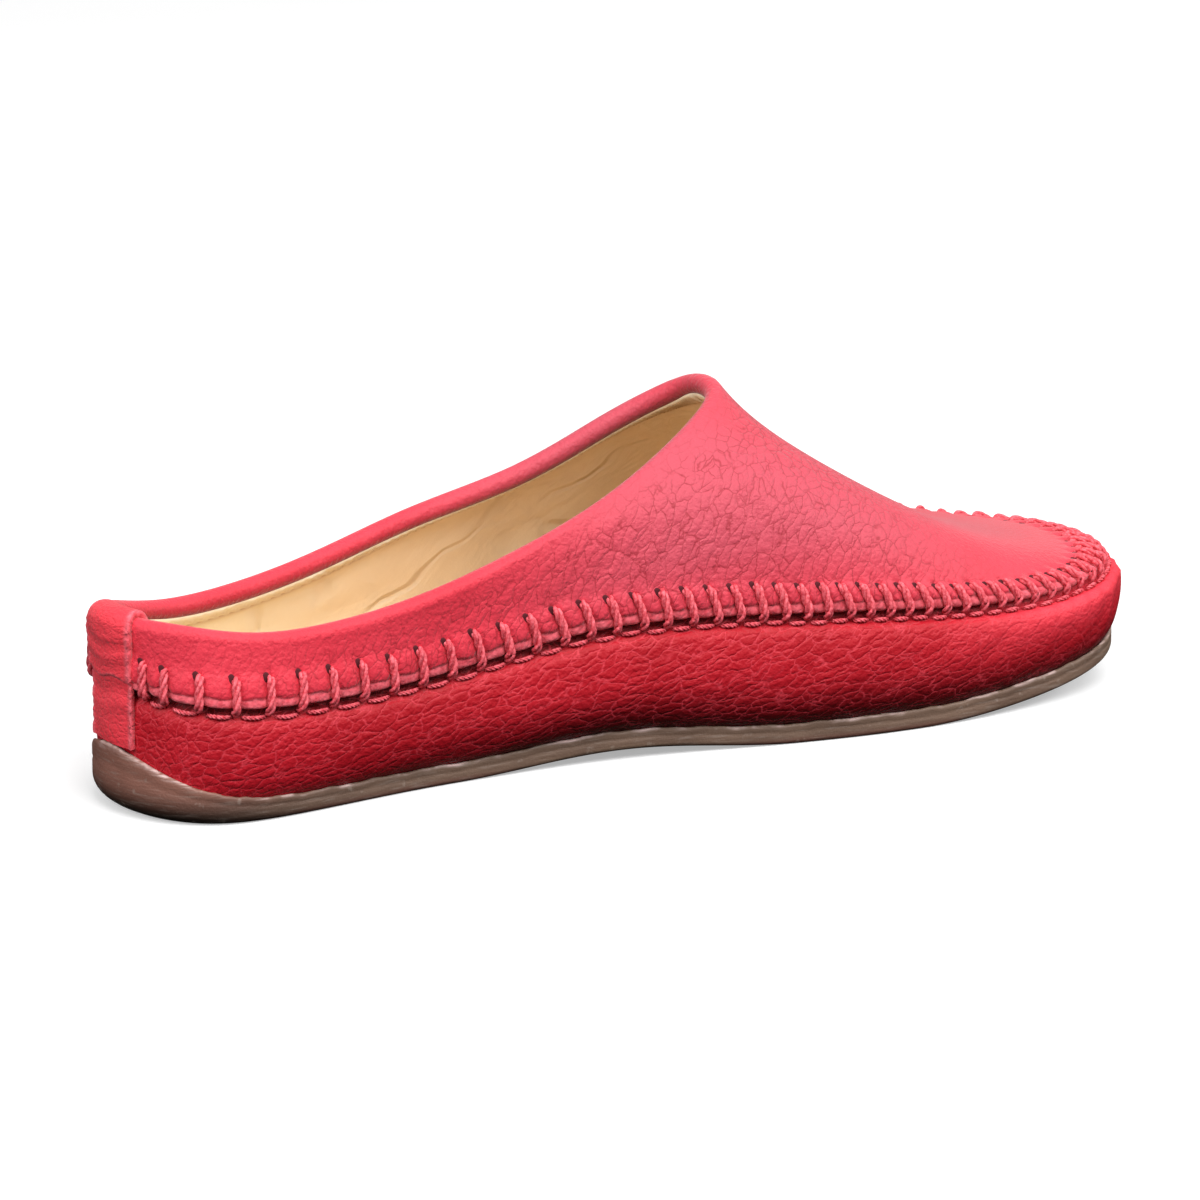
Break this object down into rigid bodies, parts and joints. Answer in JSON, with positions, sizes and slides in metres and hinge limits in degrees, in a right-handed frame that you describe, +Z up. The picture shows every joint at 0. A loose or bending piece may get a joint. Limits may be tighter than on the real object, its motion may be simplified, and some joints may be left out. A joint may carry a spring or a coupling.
{
  "type": "mule",
  "caption": "Left moccasin mule: hollow leather upper with a hand-stitched apron and a closed low back, on a thin rubber outsole that turns up round the heel.",
  "frame": {"origin": "on the floor, under the middle of the shoe's bounding box", "axes": "+X from heel to toe, +Y to the outer (lateral) side of the left foot, +Z up"},
  "size_m": [0.2582, 0.0928, 0.078],
  "materials": {
    "red_leather": "pebbled, semi-gloss",
    "tan_leather": "smooth, matte",
    "gum_rubber": "matte"
  },
  "bodies": {
    "root": {"upper": "red_leather", "back_strip": "red_leather", "insole": "tan_leather", "outsole": "gum_rubber"}
  },
  "joints": []
}
